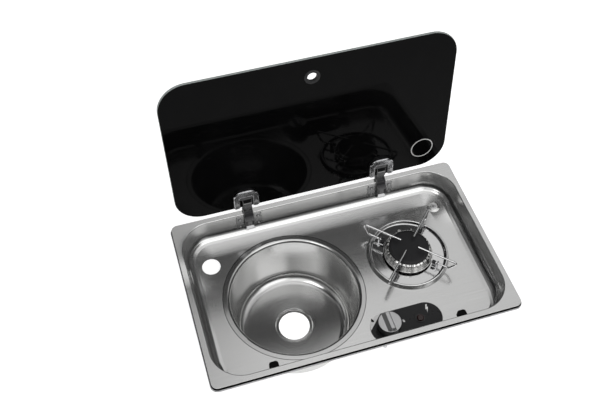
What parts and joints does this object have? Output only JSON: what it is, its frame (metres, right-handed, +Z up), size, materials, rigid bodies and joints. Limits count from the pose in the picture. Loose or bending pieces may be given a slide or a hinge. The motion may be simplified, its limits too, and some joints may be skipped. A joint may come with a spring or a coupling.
{
  "type": "rv sink with glass lid",
  "caption": "Inset caravan unit with a round steel sink bowl, a gas burner with wire pan supports, a control knob and a hinged black glass lid.",
  "frame": {"origin": "middle of the rim's outline, on the worktop's top face that the seat tape rests on", "axes": "+X to the right along the front edge, +Y to the back and the hinges, +Z up"},
  "size_m": [0.5948, 0.3961, 0.5149],
  "materials": {
    "tray_steel": "fine satin",
    "bowl_steel": "polished satin, turned",
    "mirror_steel": "mirror polished",
    "black_rubber": "matt",
    "grey_foam": "matt",
    "cast_alloy": "as cast",
    "crown_alloy": "machined, slightly heat stained",
    "cap_enamel": "matt black enamel",
    "plated_steel": "zinc plated",
    "brass": "machined",
    "pipe_alloy": "drawn",
    "white_ceramic": "glazed white ceramic",
    "wire_steel": "drawn",
    "support_wire": "polished wire",
    "chrome": "polished",
    "hinge_grey": "satin dark grey",
    "panel_black": "satin black",
    "knob_plastic": "silvered top, black skirt",
    "black_plastic": "satin black",
    "button_plastic": "dark red",
    "cup_washer": "satin",
    "black_glass": "polished, black backed"
  },
  "bodies": {
    "unit": {"burner_body": "cast_alloy", "burner_cap": "cap_enamel", "burner_crown": "crown_alloy", "burner_cup": "mirror_steel", "burner_gasket": "grey_foam", "control_plate": "panel_black", "electrode_ceramic": "white_ceramic", "fixing_nut": "plated_steel", "fixing_screw": "plated_steel", "fixing_washer": "cup_washer", "flame_sensor": "wire_steel", "gas_inlet": "pipe_alloy", "gas_pipe": "pipe_alloy", "gas_valve": "cast_alloy", "hinge_arm_left": "hinge_grey", "hinge_arm_right": "hinge_grey", "hinge_bracket_left": "chrome", "hinge_bracket_right": "chrome", "hinge_pin_left": "plated_steel", "hinge_pin_right": "plated_steel", "hinge_screws": "plated_steel", "hinge_stops": "plated_steel", "igniter_body": "black_plastic", "igniter_nut": "black_plastic", "igniter_spring": "wire_steel", "injector": "brass", "injector_holder": "plated_steel", "lid_buffers": "black_rubber", "pan_support_back": "support_wire", "pan_support_front": "support_wire", "pan_support_left": "support_wire", "pan_support_right": "support_wire", "pipe_nuts": "brass", "rim_seal": "black_rubber", "seat_tape": "grey_foam", "sink_bowl": "bowl_steel", "spark_pin": "wire_steel", "support_sleeves": "black_rubber", "support_stands": "chrome", "tray": "tray_steel", "valve_bracket": "plated_steel", "valve_screws": "plated_steel", "valve_spring": "wire_steel"},
    "lid": {"clamp_back_left": "black_plastic", "clamp_back_right": "black_plastic", "clamp_pad_left": "black_rubber", "clamp_pad_right": "black_rubber", "clamp_screws": "plated_steel", "finger_grommet": "black_rubber", "lid_clamp_left": "chrome", "lid_clamp_right": "chrome", "lid_glass": "black_glass", "lid_strap_left": "hinge_grey", "lid_strap_right": "hinge_grey"},
    "valve_plunger": {"thrust_collar": "brass"},
    "knob": {"knob": "knob_plastic", "valve_spindle": "plated_steel"},
    "igniter_button": {"igniter_button": "button_plastic"}
  },
  "joints": [
    {"name": "lid_hinge", "type": "hinge", "parent": "unit", "child": "lid", "pos_m": [0, 0.1782, 0.0142], "axis": [1, 0, 0], "range_deg": [0, 96.7]},
    {"name": "knob_push", "type": "slide", "parent": "unit", "child": "valve_plunger", "axis": [0, 0, -1], "range_m": [0, 0.003], "stiffness_N_per_m": 1200, "springref_m": -0.003, "deforming": ["valve_spring"]},
    {"name": "knob_turn", "type": "hinge", "parent": "valve_plunger", "child": "knob", "pos_m": [0.0518, -0.131, -0.013], "axis": [0, 0, 1], "range_deg": [0, 210]},
    {"name": "igniter_press", "type": "slide", "parent": "unit", "child": "igniter_button", "axis": [0, 0, -1], "range_m": [0, 0.0035], "stiffness_N_per_m": 1200, "springref_m": -0.003, "deforming": ["igniter_spring"]}
  ]
}
